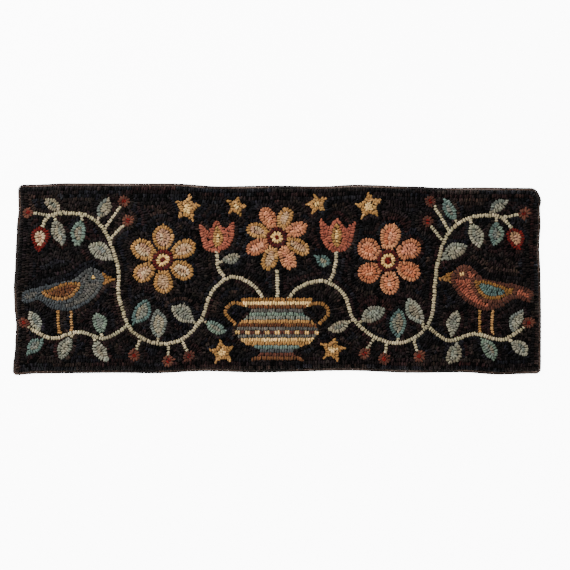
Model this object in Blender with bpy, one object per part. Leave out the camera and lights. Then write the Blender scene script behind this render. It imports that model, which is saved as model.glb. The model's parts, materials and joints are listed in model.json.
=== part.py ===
"""A long narrow hooked wool rug, lying flat with its pile up.

The rug is two pieces. The hooked field is a linen foundation whose whole face is filled with rows of
wool loops. The whipped edge is a cord covered with wool yarn, sewn on all round the field.

Metres, +Z up. The origin is on the underside, below the centre of the rug. +X runs along its length.
"""

import math

import bmesh
import bpy
import numpy as np

LENGTH = 0.914
WIDTH = 0.3262
EDGE_WIDTH = 0.0058
EDGE_HEIGHT = 0.0056
PILE_TOP = 0.0085
SEAM_GAP = 0.0003

# How high the pile's rim starts to round over, how far in it is level again, and its shoulder, as
# shares of the way in and of the way up between the two.
RIM_START = 0.0056
RIM_ROUNDING = 0.0030
SHOULDER_IN = 0.25
SHOULDER_UP = 0.70

# The pile's face rises and falls by this much, over these distances along and across the rug.
UNEVEN_HEIGHT = 0.0004
UNEVEN_ALONG = 0.210
UNEVEN_ACROSS = 0.130
FACE_STEP = 0.028

# The whipped edge swells and narrows by this much each side, over this distance.
WHIP_SWELL = 0.0003
WHIP_SWELL_STEP = 0.047

STATION_STEP = 0.012
STATIONS_PER_CORNER = 5
SECTION_SIDES = 8
SHARP_ANGLE = math.radians(50)

# Points nearer than this count as one place.
TOUCHING = 0.000001

FIELD_COLOUR = (0.025, 0.020, 0.019)
FIELD_ROUGHNESS = 0.95
YARN_COLOUR = (0.050, 0.036, 0.031)
YARN_ROUGHNESS = 0.9

CORNER_RADIUS = {
    ("top", "left"): 0.010,
    ("top", "right"): 0.016,
    ("bottom", "left"): 0.006,
    ("bottom", "right"): 0.009,
}

# The smallest corner radius on any inset line.
LEAST_RADIUS = 0.0008

# How each side strays from a straight line. Columns: the place along the side, as a share of its
# length measured from the middle towards +X or +Y, and how far the side stands out there, in mm.
SIDE_STRAY = {
    "top": (
        (-0.47, 1.9),
        (-0.40, 4.2),
        (-0.20, 3.8),
        (-0.11, -1.0),
        (-0.01, 0.3),
        (0.08, -1.0),
        (0.15, 1.9),
        (0.26, -1.2),
        (0.31, -3.6),
        (0.38, -3.0),
        (0.47, -3.7),
    ),
    "bottom": (
        (-0.50, 5.0),
        (-0.46, 1.8),
        (-0.30, 0.5),
        (-0.24, 1.4),
        (-0.14, -2.4),
        (-0.04, 0.0),
        (0.13, -3.4),
        (0.26, 0.5),
        (0.35, -0.4),
        (0.42, 3.5),
        (0.49, 1.9),
    ),
    "left": (
        (-0.47, 4.4),
        (-0.37, 0.6),
        (-0.24, -1.2),
        (-0.15, 1.7),
        (-0.05, 3.0),
        (0.08, 0.3),
        (0.27, -2.3),
        (0.37, -5.4),
        (0.47, -4.7),
    ),
    "right": (
        (-0.47, 0.7),
        (-0.18, 1.1),
        (0.01, 0.0),
        (0.18, -2.2),
        (0.30, 0.2),
        (0.38, -1.2),
        (0.42, 1.4),
        (0.47, -2.4),
    ),
}


def stray(side, share):
    """How far a side stands out from its straight line at a place along it, in metres."""
    rows = SIDE_STRAY[side]
    shares = [row[0] for row in rows]
    outs_mm = [row[1] for row in rows]
    nearest = int(np.clip(np.searchsorted(shares, share), 1, len(rows) - 1))
    start, end = shares[nearest - 1], shares[nearest]
    part = min(max((share - start) / (end - start), 0.0), 1.0)
    eased = part * part * (3 - 2 * part)
    return (outs_mm[nearest - 1] + eased * (outs_mm[nearest] - outs_mm[nearest - 1])) / 1000


def nominal_stations(inset):
    """Points round a rectangle with round corners, anticlockwise, each with the sides that move it.

    The sides are given as 1, 0 or -1 along x and y. A point of a corner is moved by both of its sides.
    """
    half_x, half_y = LENGTH / 2 - inset, WIDTH / 2 - inset
    corners = (("bottom", "right"), ("top", "right"), ("top", "left"), ("bottom", "left"))
    arcs = []
    for turn, corner in enumerate(corners):
        radius = max(CORNER_RADIUS[corner] - inset, LEAST_RADIUS)
        side_x = 1 if corner[1] == "right" else -1
        side_y = 1 if corner[0] == "top" else -1
        centre_x, centre_y = (half_x - radius) * side_x, (half_y - radius) * side_y
        arc = []
        for step in range(STATIONS_PER_CORNER + 1):
            angle = math.pi / 2 * (turn - 1 + step / STATIONS_PER_CORNER)
            x, y = centre_x + radius * math.cos(angle), centre_y + radius * math.sin(angle)
            arc.append((x, y, side_x, side_y))
        arcs.append(arc)
    stations = []
    for turn, arc in enumerate(arcs):
        stations += arc
        here, there = arc[-1], arcs[(turn + 1) % len(arcs)][0]
        side_length = LENGTH if turn % 2 else WIDTH
        side = ((1, 0), (0, 1), (-1, 0), (0, -1))[turn]
        steps = round(side_length / STATION_STEP)
        for step in range(1, steps):
            part = step / steps
            x = here[0] + part * (there[0] - here[0])
            y = here[1] + part * (there[1] - here[1])
            stations.append((x, y, *side))
    return stations


def outline(inset):
    """The rug's uneven outline, taken in by inset, as points in order."""
    points = []
    for x, y, side_x, side_y in nominal_stations(inset):
        end = "right" if side_x > 0 else "left"
        edge = "top" if side_y > 0 else "bottom"
        moved_x = x + side_x * stray(end, y / WIDTH)
        moved_y = y + side_y * stray(edge, x / LENGTH)
        points.append((moved_x, moved_y))
    return points


def unevenness(x, y):
    """How far the pile's face rises above its mean height."""
    along = math.sin(math.tau * x / UNEVEN_ALONG + math.cos(math.tau * y / UNEVEN_ACROSS))
    across = math.cos(math.tau * y / UNEVEN_ACROSS + x / UNEVEN_ALONG)
    return UNEVEN_HEIGHT * along * across


def add_ring(mesh, points, heights):
    """Adds one closed ring of vertices, with a height for each point."""
    return [mesh.verts.new((x, y, z)) for (x, y), z in zip(points, heights, strict=True)]


def join_rings(mesh, lower, upper):
    """Adds the band of faces between two rings that have as many vertices."""
    count = len(lower)
    for here in range(count):
        after = (here + 1) % count
        mesh.faces.new((lower[here], lower[after], upper[after], upper[here]))


def wool(name, colour, roughness):
    """A plain wool finish for one piece."""
    material = bpy.data.materials.new(name)
    material.use_nodes = True
    shader = material.node_tree.nodes["Principled BSDF"]
    shader.inputs["Base Color"].default_value = (*colour, 1)
    shader.inputs["Roughness"].default_value = roughness
    shader.inputs["Metallic"].default_value = 0
    return material


def finish_piece(name, mesh, material):
    """Makes a closed mesh into a named object."""
    bmesh.ops.recalc_face_normals(mesh, faces=mesh.faces)
    data = bpy.data.meshes.new(name)
    mesh.to_mesh(data)
    mesh.free()
    data.materials.append(material)
    data.shade_smooth()
    data.set_sharp_from_angle(angle=SHARP_ANGLE)
    piece = bpy.data.objects.new(name, data)
    bpy.context.scene.collection.objects.link(piece)
    return piece


def cut_face(mesh, face):
    """Cuts the pile's face into a grid of cells, so that it can rise and fall."""
    for axis, span in ((0, LENGTH), (1, WIDTH)):
        cuts = int(span / FACE_STEP) - 1
        normal = (1, 0, 0) if axis == 0 else (0, 1, 0)
        for cut in range(cuts):
            place = [0.0, 0.0, PILE_TOP]
            place[axis] = (cut - (cuts - 1) / 2) * FACE_STEP
            faces = [f for f in mesh.faces if f == face or f.tag]
            edges = {e for f in faces for e in f.edges}
            verts = {v for f in faces for v in f.verts}
            made = bmesh.ops.bisect_plane(
                mesh, geom=[*verts, *edges, *faces], dist=TOUCHING, plane_co=place, plane_no=normal
            )
            for item in made["geom"]:
                if isinstance(item, bmesh.types.BMFace):
                    item.tag = True


def hooked_field():
    """The foundation with its pile: a flat slab with a rounded rim and a softly uneven face."""
    mesh = bmesh.new()
    inset = EDGE_WIDTH + SEAM_GAP
    levels = (
        (inset, 0.0),
        (inset, RIM_START),
        (inset + RIM_ROUNDING * SHOULDER_IN, RIM_START + (PILE_TOP - RIM_START) * SHOULDER_UP),
        (inset + RIM_ROUNDING, PILE_TOP),
    )
    rings = []
    for level_inset, height in levels:
        points = outline(level_inset)
        rings.append(add_ring(mesh, points, [height] * len(points)))
    for lower, upper in zip(rings, rings[1:], strict=False):
        join_rings(mesh, lower, upper)
    mesh.faces.new(reversed(rings[0]))
    face = mesh.faces.new(rings[-1])
    cut_face(mesh, face)
    for vertex in mesh.verts:
        if vertex.co.z > PILE_TOP - TOUCHING:
            vertex.co.z += unevenness(vertex.co.x, vertex.co.y)
    return finish_piece("hooked_field", mesh, wool("hooked_wool", FIELD_COLOUR, FIELD_ROUGHNESS))


def whipped_edge():
    """The yarn-covered cord: a closed ring of rounded section, flat where it lies on the floor."""
    mesh = bmesh.new()
    rings = []
    for side in range(SECTION_SIDES):
        angle = math.tau * (side + 0.5) / SECTION_SIDES
        across, up = math.cos(angle), math.sin(angle)
        widest = math.cos(math.pi / SECTION_SIDES)
        points, heights = [], []
        middle = outline(EDGE_WIDTH / 2)
        flank = outline(EDGE_WIDTH / 2 - across / widest * EDGE_WIDTH / 2)
        run = 0.0
        previous = middle[-1]
        for (mid_x, mid_y), (x, y) in zip(middle, flank, strict=True):
            run += math.dist(previous, (mid_x, mid_y))
            previous = (mid_x, mid_y)
            swell = WHIP_SWELL * math.sin(math.tau * run / WHIP_SWELL_STEP) * max(across, 0)
            reach = math.dist((x, y), (mid_x, mid_y))
            share = 1 + swell / reach
            points.append((mid_x + (x - mid_x) * share, mid_y + (y - mid_y) * share))
            heights.append(EDGE_HEIGHT / 2 * (1 + up / widest))
        rings.append(add_ring(mesh, points, heights))
    for side in range(SECTION_SIDES):
        join_rings(mesh, rings[side], rings[(side + 1) % SECTION_SIDES])
    return finish_piece("whipped_edge", mesh, wool("whipping_yarn", YARN_COLOUR, YARN_ROUGHNESS))


def centre_over_origin(pieces, outermost):
    """Moves the pieces together so that the box round the outermost one is centred on the origin."""
    for axis in (0, 1):
        places = [vertex.co[axis] for vertex in outermost.data.vertices]
        middle = (min(places) + max(places)) / 2
        for piece in pieces:
            piece.location[axis] = -middle


def main():
    for old in list(bpy.data.objects):
        bpy.data.objects.remove(old)
    field = hooked_field()
    edge = whipped_edge()
    centre_over_origin((field, edge), edge)


main()
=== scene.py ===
"""The looks of a long narrow hooked wool rug, lying flat with its pile up.

The rug is dressed the way it is made. Motifs are drawn on linen, strips of dyed wool are hooked through
the linen in rows that follow the motifs, and the raw edge is whipped with yarn over a cord.

The drawing on the linen is in millimetres from the rug's centre, and the meshes are in metres.
"""

import json
import logging
import math
from collections.abc import Iterator, Sequence
from dataclasses import dataclass, field, replace
from enum import Enum

import bmesh
import bpy
import numpy as np
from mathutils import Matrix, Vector
from mathutils.bvhtree import BVHTree
from mathutils.kdtree import KDTree

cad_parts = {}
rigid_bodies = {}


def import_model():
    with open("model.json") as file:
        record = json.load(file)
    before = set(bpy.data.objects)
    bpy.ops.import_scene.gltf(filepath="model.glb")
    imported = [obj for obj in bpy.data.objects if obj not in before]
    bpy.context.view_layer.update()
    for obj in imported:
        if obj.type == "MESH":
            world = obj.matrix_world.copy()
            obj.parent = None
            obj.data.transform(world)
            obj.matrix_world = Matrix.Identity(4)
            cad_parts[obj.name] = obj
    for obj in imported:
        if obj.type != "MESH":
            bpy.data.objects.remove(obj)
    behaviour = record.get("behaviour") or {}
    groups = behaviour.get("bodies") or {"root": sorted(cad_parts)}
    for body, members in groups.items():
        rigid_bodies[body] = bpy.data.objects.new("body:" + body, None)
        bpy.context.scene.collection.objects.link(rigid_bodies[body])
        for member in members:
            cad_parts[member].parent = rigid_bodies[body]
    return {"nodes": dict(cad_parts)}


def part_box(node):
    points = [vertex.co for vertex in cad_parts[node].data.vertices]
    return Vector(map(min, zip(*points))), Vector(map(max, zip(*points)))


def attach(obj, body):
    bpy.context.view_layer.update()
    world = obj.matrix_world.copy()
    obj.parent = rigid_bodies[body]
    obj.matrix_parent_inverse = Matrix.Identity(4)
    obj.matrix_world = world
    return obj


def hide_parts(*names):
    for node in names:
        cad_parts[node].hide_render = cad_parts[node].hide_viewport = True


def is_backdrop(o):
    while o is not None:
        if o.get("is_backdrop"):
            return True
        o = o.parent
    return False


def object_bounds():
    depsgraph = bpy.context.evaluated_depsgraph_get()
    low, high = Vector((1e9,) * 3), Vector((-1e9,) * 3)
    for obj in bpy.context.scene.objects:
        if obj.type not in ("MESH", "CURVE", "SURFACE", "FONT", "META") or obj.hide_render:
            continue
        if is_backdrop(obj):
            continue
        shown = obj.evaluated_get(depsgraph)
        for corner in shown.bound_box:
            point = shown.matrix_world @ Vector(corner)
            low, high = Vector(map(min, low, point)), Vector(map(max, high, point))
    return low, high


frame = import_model()
cad_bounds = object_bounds()

LOG = logging.getLogger("hooked_rug")
MM = 0.001
BODY = "root"
FIELD_NODE = "hooked_field"
EDGE_NODE = "whipped_edge"

# The gap between the CAD field and the CAD edge, how far the whipping presses into the pile, and how
# far the first row stands in from the field's outline to make room for it.
SEAM_GAP = 0.3
PRESSED_IN = 0.4
ROW_INSET = 0.2

Points = np.ndarray
Colour = tuple[float, float, float]


class Basket(Enum):
    """The baskets that the cut strips are sorted into. Each becomes one piece of the pile."""

    BLACK = "ground_rows_black"
    BLUE = "ground_rows_blue"
    BROWN = "ground_rows_brown"
    MAROON = "ground_rows_maroon"
    CREAM = "motif_rows_cream"
    GREEN = "motif_rows_green"
    PINK = "motif_rows_pink"
    GOLD = "motif_rows_gold"
    RED = "motif_rows_red"
    SLATE = "motif_rows_slate"


class RowRun(Enum):
    """How a motif's rows run."""

    ECHO = "inwards from the outline"
    LEVEL = "straight across"
    LINE = "one row along a line"


@dataclass(frozen=True)
class Dye:
    """A pot of dyed wool. Its strips differ, as the wools in one pot take the dye differently.

    Attributes:
        basket: The basket that its strips are kept in.
        strips: The strips' colours, as red, green and blue from 0 to 255.
    """

    basket: Basket
    strips: tuple[Colour, ...]


BLACK = Dye(Basket.BLACK, ((25, 19, 19), (20, 17, 17), (31, 24, 24), (17, 14, 15), (27, 22, 21)))
BLUE_BLACK = Dye(Basket.BLUE, ((21, 20, 24), (26, 24, 27), (19, 18, 20), (29, 28, 31)))
BROWN_BLACK = Dye(Basket.BROWN, ((36, 27, 24), (30, 23, 21), (43, 32, 28), (28, 22, 20), (37, 30, 27)))
MAROON_BLACK = Dye(Basket.MAROON, ((33, 21, 20), (28, 18, 18), (38, 22, 21), (26, 17, 17), (31, 21, 21)))
CREAM = Dye(Basket.CREAM, ((190, 175, 139), (180, 166, 130), (197, 181, 143), (171, 160, 128)))
STRAW = Dye(Basket.CREAM, ((241, 194, 121), (249, 206, 136), (231, 184, 111)))
SAGE = Dye(Basket.GREEN, ((122, 122, 108), (135, 131, 114), (110, 114, 105), (131, 122, 102)))
PALE_SAGE = Dye(Basket.GREEN, ((141, 138, 120), (150, 145, 123), (128, 131, 117), (146, 135, 111)))
TEAL = Dye(Basket.GREEN, ((95, 113, 104), (106, 122, 111), (84, 104, 98), (113, 127, 111)))
CORAL = Dye(Basket.PINK, ((204, 123, 84), (211, 136, 97), (186, 106, 71), (213, 147, 111), (196, 125, 93)))
DUSTY_PINK = Dye(
    Basket.PINK, ((181, 144, 107), (191, 155, 117), (166, 125, 93), (197, 166, 128), (180, 136, 107))
)
APRICOT = Dye(Basket.PINK, ((180, 115, 79), (188, 125, 86), (171, 106, 72)))
OCHRE = Dye(Basket.GOLD, ((144, 101, 55), (153, 110, 64), (132, 91, 46)))
GOLD = Dye(Basket.GOLD, ((173, 127, 73), (180, 134, 81), (163, 118, 66)))
RUST = Dye(Basket.RED, ((90, 52, 40), (97, 58, 45), (80, 46, 36)))
BRICK = Dye(Basket.RED, ((154, 83, 63), (162, 90, 69), (142, 75, 58)))
RED = Dye(Basket.RED, ((104, 24, 19), (96, 22, 17), (116, 30, 24)))
BURGUNDY = Dye(Basket.RED, ((78, 24, 22), (70, 22, 22), (88, 28, 24)))
SLATE = Dye(Basket.SLATE, ((84, 81, 76), (91, 88, 81), (77, 76, 73), (98, 92, 84)))
DEEP_SLATE = Dye(Basket.SLATE, ((70, 72, 72), (63, 67, 69), (77, 78, 76)))
BROWN = Dye(Basket.SLATE, ((100, 60, 36), (108, 68, 41), (91, 53, 32)))

GROUND_DYES = (BLACK, BLUE_BLACK, BROWN_BLACK, MAROON_BLACK)
GROUND_SHARES = (0.37, 0.24, 0.21, 0.18)


@dataclass(frozen=True)
class Motif:
    """One shape drawn on the linen, with the wools for its rows.

    Attributes:
        outline: The closed outline, or the line of a LINE motif.
        rows: The wools of each row, from the outside or the top. A row of two wools changes at each
            loop. The last entry serves the rows after it.
        run: How the rows run.
        width: The width of its rows, as a share of a strip.
    """

    outline: Points
    rows: tuple[tuple[Dye, ...], ...]
    run: RowRun = RowRun.ECHO
    width: float = 1.0


def smooth_curve(points: Sequence[tuple[float, float]], closed: bool, steps: int = 8) -> Points:
    """Draws a soft curve through points.

    Args:
        points: The points that it passes through.
        closed: Whether it runs back to its start.
        steps: The number of places read between two points.

    Returns:
        The places along the curve, one row each.
    """
    base = np.array(points, float)
    if closed:
        padded = np.vstack([base[-1:], base, base[:2]])
    else:
        padded = np.vstack([2 * base[0] - base[1], base, 2 * base[-1] - base[-2]])
    share = (np.arange(steps) / steps)[:, None]
    spans = []
    for before, here, after, beyond in zip(padded, padded[1:], padded[2:], padded[3:], strict=False):
        bend = 2 * before - 5 * here + 4 * after - beyond
        sway = 3 * here - before - 3 * after + beyond
        spans.append(here + 0.5 * share * (after - before + share * (bend + share * sway)))
    if not closed:
        spans.append(base[-1:])
    return np.vstack(spans)


def placed(shape: Points, at: tuple[float, float], turn: float = 0.0, side: int = 1) -> Points:
    """Turns a shape, moves it to its place, and mirrors it if it belongs to the rug's left side.

    Args:
        shape: The shape about its own origin.
        at: Its place on the right side.
        turn: How far it is turned, in degrees.
        side: 1 for the right side, -1 for the left.

    Returns:
        The shape in its place on the linen.
    """
    angle = math.radians(turn)
    spin = np.array(((math.cos(angle), math.sin(angle)), (-math.sin(angle), math.cos(angle))))
    return (shape @ spin + np.array(at)) * np.array((side, 1))


def hand_drawn(outline: Points) -> Points:
    """Bends a shape a little with its place on the linen, so that no two are quite alike."""
    x, y = outline[:, 0], outline[:, 1]
    push_x = 2.6 * np.sin(0.017 * x + 0.031 * y + 0.6) + 1.1 * np.sin(0.071 * y - 0.023 * x)
    push_y = 2.4 * np.cos(0.014 * x - 0.027 * y + 1.3) + 1.2 * np.sin(0.063 * x + 0.019 * y)
    return outline + np.stack([push_x, push_y], 1)


@dataclass(frozen=True)
class Pattern:
    """The drawing on the linen: an urn with flowers, scrolling vines, birds and stars.

    Both sides are drawn from the same places, and hand_drawn makes them differ.
    """

    petal_reach: float = 38.0
    petal_length: float = 46.0
    petal_width: float = 35.0
    heart_radius: float = 19.2
    leaf_width: float = 0.58
    stalk: float = 7.0
    berry_radius: float = 10.6
    star_radius: float = 25.0
    star_waist: float = 0.52

    def motifs(self) -> list[Motif]:
        """Draws every motif, those below first.

        Returns:
            The motifs in the order in which they cover each other.
        """
        drawn: list[Motif] = []
        for side in (-1, 1):
            drawn += self.leaves(side)
            drawn += self.berries(side)
            drawn += self.vines(side)
            drawn += self.side_flowers(side)
            drawn += self.bird(side)
            drawn += self.stars(side)
        drawn += self.rosette((0.0, 70.0), 8, (CORAL, DUSTY_PINK), 1, 0.98)
        return [self.shaped(motif) for motif in drawn] + self.urn()

    @staticmethod
    def shaped(motif: Motif) -> Motif:
        """Gives a motif its hand-drawn outline."""
        return Motif(hand_drawn(motif.outline), motif.rows, motif.run, motif.width)

    @staticmethod
    def line(points: Sequence[tuple[float, float]], side: int, dye: Dye, width: float = 1.0) -> Motif:
        """Draws a single row along a soft line."""
        path = placed(smooth_curve(points, closed=False), (0, 0), 0, side)
        return Motif(path, ((dye,),), RowRun.LINE, width)

    def vines(self, side: int) -> list[Motif]:
        """Draws one side's scrolling vine, its lower branch and the tulip's stem."""
        scroll = (
            (14, -40),
            (40, -12),
            (80, 0),
            (112, -24),
            (132, -70),
            (168, -104),
            (218, -110),
            (258, -84),
            (276, -30),
            (278, 26),
            (294, 78),
            (334, 110),
            (388, 110),
            (412, 84),
        )
        branch = ((258, -84), (296, -104), (342, -94), (390, -102), (424, -86))
        return [
            self.line(branch, side, CREAM),
            self.line(((88, -3), (100, 18), (104, 48)), side, CREAM),
            self.line(scroll, side, CREAM),
        ]

    def leaf(
        self, base: tuple[float, float], turn: float, length: float, side: int, dyes: tuple[Dye, Dye]
    ) -> list[Motif]:
        """Draws a pointed leaf on a short stalk.

        Args:
            base: The foot of its stalk.
            turn: The way that it points, in degrees.
            length: The length of its blade.
            side: The side of the rug.
            dyes: The wools of its edge and of its middle.

        Returns:
            The stalk and the blade.
        """
        share = np.linspace(0, 1, 15)
        half = 0.5 * length * self.leaf_width * np.sin(np.pi * share) ** 0.78
        bend = 0.06 * length * np.sin(np.pi * share)
        along = self.stalk + share * length
        upper = np.stack([along, bend + half], 1)
        lower = np.stack([along, bend - half], 1)[-2:0:-1]
        blade = placed(np.vstack([upper, lower]), base, turn, side)
        stalk = placed(np.array(((0.0, 0.0), (self.stalk + 3, 0.0))), base, turn, side)
        return [
            Motif(stalk, ((CREAM,),), RowRun.LINE, 0.8),
            Motif(blade, ((dyes[0],), (dyes[1],))),
        ]

    def leaves(self, side: int) -> list[Motif]:
        """Draws one side's leaves. Columns: the stalk's foot across and up, its way, the length."""
        places = (
            (102, 26, 160, 34),
            (132, -72, 200, 38),
            (138, -80, 30, 50),
            (206, -111, 84, 52),
            (254, -88, 116, 52),
            (278, 32, 28, 50),
            (312, 97, 116, 40),
            (336, 109, -78, 48),
            (366, 112, 36, 38),
            (385, 109, -102, 47),
            (300, -104, 72, 44),
            (316, -101, -118, 43),
            (352, -95, -62, 46),
            (402, -99, -44, 42),
            (408, -95, 66, 40),
        )
        wools = ((SAGE, PALE_SAGE), (TEAL, SAGE), (PALE_SAGE, SAGE))
        found = []
        for number, (x, y, turn, length) in enumerate(places):
            dyes = wools[(number + (side > 0)) % len(wools)]
            found += self.leaf((x, y), turn, length, side, dyes)
        return found

    def berries(self, side: int) -> list[Motif]:
        """Draws one side's berries. Columns: the stalk's foot, and the berry's place."""
        places = (
            ((168, -104), (154, -132)),
            ((190, -110), (188, -139)),
            ((234, -104), (246, -133)),
            ((288, 66), (258, 102)),
            ((298, 84), (266, 134)),
            ((396, 108), (432, 116)),
            ((424, -86), (438, -74)),
        )
        turn = np.linspace(0, math.tau, 16, endpoint=False)
        ring = self.berry_radius * np.stack([np.cos(turn), np.sin(turn)], 1)
        found = [self.line((foot, at), side, CREAM, 0.8) for foot, at in places if math.dist(foot, at) > 9]
        return found + [Motif(placed(ring, at, 0, side), ((RUST,), (RED,))) for _, at in places]

    def rosette(
        self, at: tuple[float, float], petals: int, dyes: tuple[Dye, Dye], side: int, size: float = 1.0
    ) -> list[Motif]:
        """Draws a round flower of separate petals.

        Args:
            at: Its centre.
            petals: The number of petals.
            dyes: The wools of every other petal.
            side: The side of the rug.
            size: Its size beside the pattern's own.

        Returns:
            The petals and the heart.
        """
        turn = np.linspace(0, math.tau, 24, endpoint=False)
        width = self.petal_width * min(1.0, 6.6 / petals)
        blunt = 1 + 0.16 * np.cos(turn)
        petal = np.stack(
            [
                self.petal_reach + self.petal_length / 2 * np.cos(turn),
                width / 2 * blunt * np.sin(turn),
            ],
            1,
        )
        found = []
        for number in range(petals):
            spun = placed(petal * size, (0, 0), 360 * (number + 0.5) / petals)
            fill = dyes[number % 2]
            edge = APRICOT if fill is CORAL else GOLD
            found.append(Motif(placed(spun, at, 0, side), ((edge,), (fill,))))
        ring = self.heart_radius * size * np.stack([np.cos(turn), np.sin(turn)], 1)
        heart = ((BURGUNDY,), (STRAW, STRAW), (RED,))
        found.append(Motif(placed(ring, at, 0, side), heart))
        return found

    def side_flowers(self, side: int) -> list[Motif]:
        """Draws one side's rosette, tulip and hanging bud."""
        dyes = (CORAL, CORAL) if side > 0 else (DUSTY_PINK, DUSTY_PINK)
        found = self.rosette((196, 34), 6, dyes, side)
        rim = ((25, 22), (27, 50), (13, 38), (0, 52), (-13, 38), (-27, 50), (-25, 22))
        cup = ((0, 0), (17, 5), *rim, (-17, 5))
        tongue = ((0, 7), (8, 18), (6, 34), (0, 45), (-6, 34), (-8, 18))
        tulip_at, tulip_turn, tulip_size = (104, 46), -4, 1.1
        for shape, rows in (
            (cup, ((BRICK,), (BRICK,), (RED,))),
            (tongue, ((GOLD,), (STRAW,))),
        ):
            outline = placed(tulip_size * smooth_curve(shape, closed=True), tulip_at, tulip_turn, side)
            found.append(Motif(outline, rows))
        bud = ((0, 2), (13, -4), (16, -18), (8, -34), (0, -40), (-8, -34), (-16, -18), (-13, -4))
        outline = placed(smooth_curve(bud, closed=True), (412, 86), 8, side)
        found.append(Motif(outline, ((RED,), (DUSTY_PINK,))))
        return found

    def bird(self, side: int) -> list[Motif]:
        """Draws the plump bird that stands on one side's lower branch and looks inwards."""
        at, size = (368, -18), 1.12
        body = (
            (-38, 37),
            (-52, 31),
            (-58, 18),
            (-52, 0),
            (-36, -20),
            (-8, -33),
            (20, -26),
            (40, -14),
            (62, -20),
            (64, -3),
            (42, 6),
            (18, 10),
            (-8, 16),
            (-24, 30),
        )
        wing = ((-22, 10), (-10, -12), (12, -15), (36, -3), (20, 5), (-4, 13))
        beak = ((-48, 32), (-78, 16), (-50, 6))
        coat, trim, quill = (SLATE, DEEP_SLATE, BROWN) if side < 0 else (BRICK, RUST, TEAL)
        legs = [
            self.line(((at[0] + foot, -50), (at[0] + foot + 1, -92)), side, GOLD, 0.8) for foot in (-14, 8)
        ]
        eye = np.array(((-44, 18), (-38, 18), (-38, 24), (-44, 24)))
        return [
            *legs,
            Motif(placed(size * np.array(beak), at, 0, side), ((OCHRE,),)),
            Motif(placed(size * smooth_curve(body, closed=True), at, 0, side), ((trim,), (coat,))),
            Motif(placed(size * smooth_curve(wing, closed=True), at, 0, side), ((OCHRE,), (quill,))),
            Motif(placed(size * eye, at, 0, side), ((STRAW,),)),
        ]

    def stars(self, side: int) -> list[Motif]:
        """Draws one side's five-pointed stars. Columns: the place across and up, the size, the turn."""
        turn = math.pi / 2 + np.linspace(0, math.tau, 10, endpoint=False)
        reach = np.where(np.arange(10) % 2, self.star_waist, 1.0) * self.star_radius
        star = np.stack([reach * np.cos(turn), reach * np.sin(turn)], 1)
        places = ((158, 125, 1.0, 8), (98, -124, 0.95, -10), (69, 129, 0.8, 14))
        return [
            Motif(placed(size * star, (x, y), spin, side), ((GOLD,), (STRAW,)))
            for x, y, size, spin in places
        ]

    def urn(self) -> list[Motif]:
        """Draws the urn in the middle, with its handles."""
        half = (
            (62, -32),
            (60, -42),
            (44, -52),
            (48, -62),
            (68, -78),
            (72, -94),
            (56, -112),
            (28, -122),
            (28, -129),
            (48, -141),
        )
        outline = np.array([*half, *[(-x, y) for x, y in reversed(half)]], float)
        bands = (OCHRE, STRAW, BROWN, SLATE, TEAL, SAGE, GOLD, BROWN, SLATE)
        foot = (SLATE, STRAW, GOLD, TEAL, DEEP_SLATE, RUST, BROWN)
        rows = (*((dye,) for dye in bands), (STRAW, RUST), *((dye,) for dye in foot))
        handle = ((54, -44), (78, -42), (90, -58), (74, -76))
        handles = [self.line(handle, side, OCHRE) for side in (-1, 1)]
        stem = self.line(((0, -32), (1, -14), (0, 14)), 1, CREAM)
        return [*handles, stem, Motif(outline, rows, RowRun.LEVEL)]


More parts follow.
